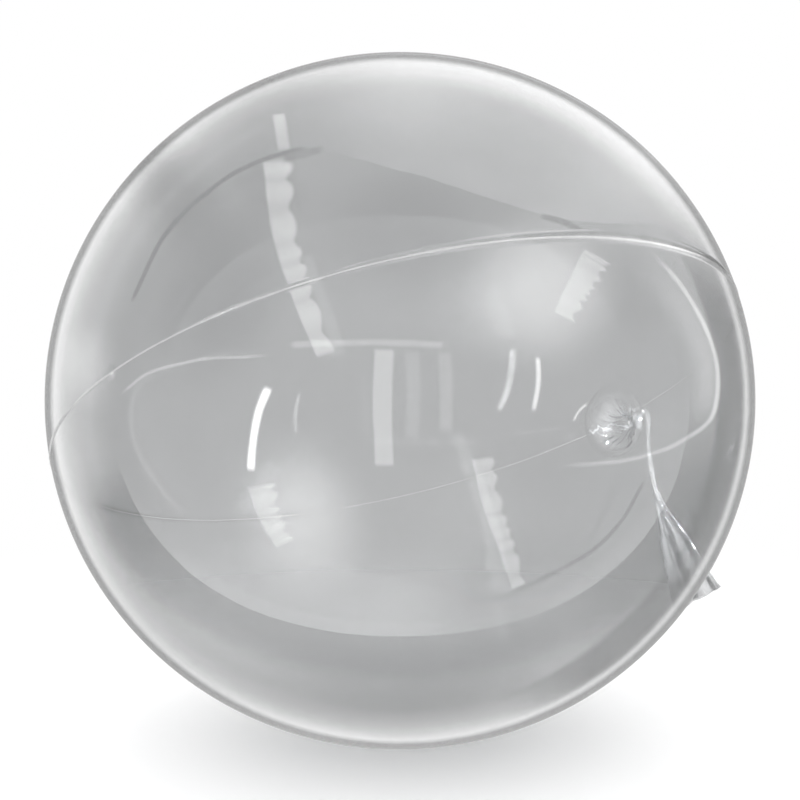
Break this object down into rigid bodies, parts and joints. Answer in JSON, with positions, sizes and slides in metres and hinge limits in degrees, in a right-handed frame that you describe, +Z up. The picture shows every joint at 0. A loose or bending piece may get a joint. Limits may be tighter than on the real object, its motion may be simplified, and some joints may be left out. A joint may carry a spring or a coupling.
{
  "type": "inflatable beach ball",
  "caption": "Clear inflated ball of thin glossy film with a heat-sealed ring, a tied gathered neck and a flared cut tail that bends and swings, resting on a small flat patch.",
  "frame": {"origin": "centre of the flat patch that the ball rests on", "axes": "+Z up; the neck points level towards about 44 degrees from +X towards +Y, and the ball's height is its shortest extent"},
  "size_m": [0.5158, 0.4999, 0.4887],
  "materials": {
    "clear_film": "clear, glossy, stretched smooth",
    "sealed_seam": "milky heat-sealed weld line",
    "gathered_film": "clear film gathered into glossy pleats",
    "stretched_film": "twisted, stress-whitened glossy film",
    "tail_film": "clear film with creases"
  },
  "bodies": {
    "ball": {"upper_film_panel": "clear_film", "lower_film_panel": "clear_film", "seam_weld": "sealed_seam", "neck_collar": "gathered_film"},
    "knot": {"neck_knot": "gathered_film"},
    "stem": {"neck_stem": "stretched_film"},
    "tail": {"tail_front_film": "tail_film", "tail_back_film": "tail_film", "tail_outer_weld": "sealed_seam", "tail_inner_weld": "sealed_seam"}
  },
  "joints": [
    {"name": "neck_swing", "type": "hinge", "parent": "ball", "child": "knot", "pos_m": [0.17705, 0.17277, 0.20804], "axis": [0.7079, 0.6908, -0.1473], "range_deg": [-40, 40], "stiffness_Nm_per_rad": 0.03, "springref_deg": -1.54},
    {"name": "stem_lift", "type": "hinge", "parent": "knot", "child": "stem", "pos_m": [0.19672, 0.19198, 0.20394], "axis": [0.6984, -0.7157, 0], "range_deg": [-15, 40], "stiffness_Nm_per_rad": 0.03, "springref_deg": 1.02},
    {"name": "tail_fold", "type": "hinge", "parent": "stem", "child": "tail", "pos_m": [0.21623, 0.18488, 0.13944], "axis": [0.8908, -0.2631, 0.3704], "range_deg": [-40, 70], "stiffness_Nm_per_rad": 0.02, "springref_deg": 0.19}
  ]
}
